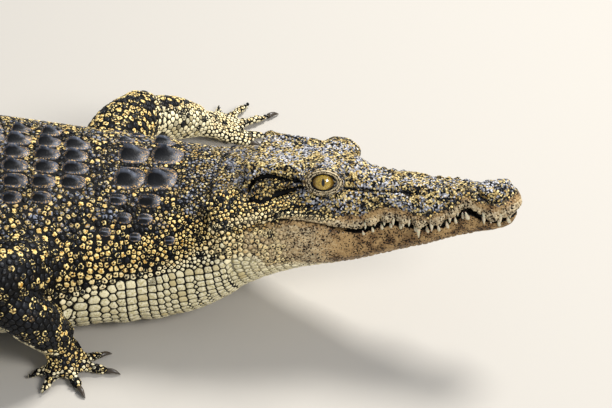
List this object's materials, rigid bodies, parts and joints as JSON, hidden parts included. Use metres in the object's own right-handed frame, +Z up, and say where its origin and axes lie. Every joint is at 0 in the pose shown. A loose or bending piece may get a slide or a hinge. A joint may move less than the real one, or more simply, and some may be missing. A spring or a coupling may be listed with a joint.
{
  "type": "nile crocodile figure",
  "caption": "Half-grown Nile crocodile lying on its belly, still, at life size: head raised and turned, keeled back, crested tail curved, fore leg reaching forward.",
  "frame": {"origin": "on the floor under the middle of the belly, where the belly rests", "axes": "+X towards the snout along the trunk, +Y to the animal's left, +Z up"},
  "size_m": [1.9427, 0.7044, 0.2089],
  "materials": {
    "hide": "horny scales, low sheen, dark with yellow spots",
    "pale_hide": "smooth scales, pale yellow with dark dots",
    "iris": "wet and clear, golden iris with a slit pupil",
    "claw": "horn, dark, worn satin"
  },
  "bodies": {
    "root": {"neck": "hide", "trunk": "hide", "tail_base": "hide", "tail_middle": "hide", "tail_end": "hide", "tail_tip": "hide", "head": "hide", "lower_jaw": "pale_hide", "eye_left": "iris", "eye_right": "iris", "fore_left_upper": "hide", "fore_left_lower": "hide", "hand_left": "hide", "hand_left_claw_1": "claw", "hand_left_claw_2": "claw", "hand_left_claw_3": "claw", "fore_right_upper": "hide", "fore_right_lower": "hide", "hand_right": "hide", "hand_right_claw_1": "claw", "hand_right_claw_2": "claw", "hand_right_claw_3": "claw", "hind_left_upper": "hide", "hind_left_lower": "hide", "foot_left": "hide", "foot_left_claw_1": "claw", "foot_left_claw_2": "claw", "foot_left_claw_3": "claw", "hind_right_upper": "hide", "hind_right_lower": "hide", "foot_right": "hide", "foot_right_claw_1": "claw", "foot_right_claw_2": "claw", "foot_right_claw_3": "claw"}
  },
  "joints": []
}
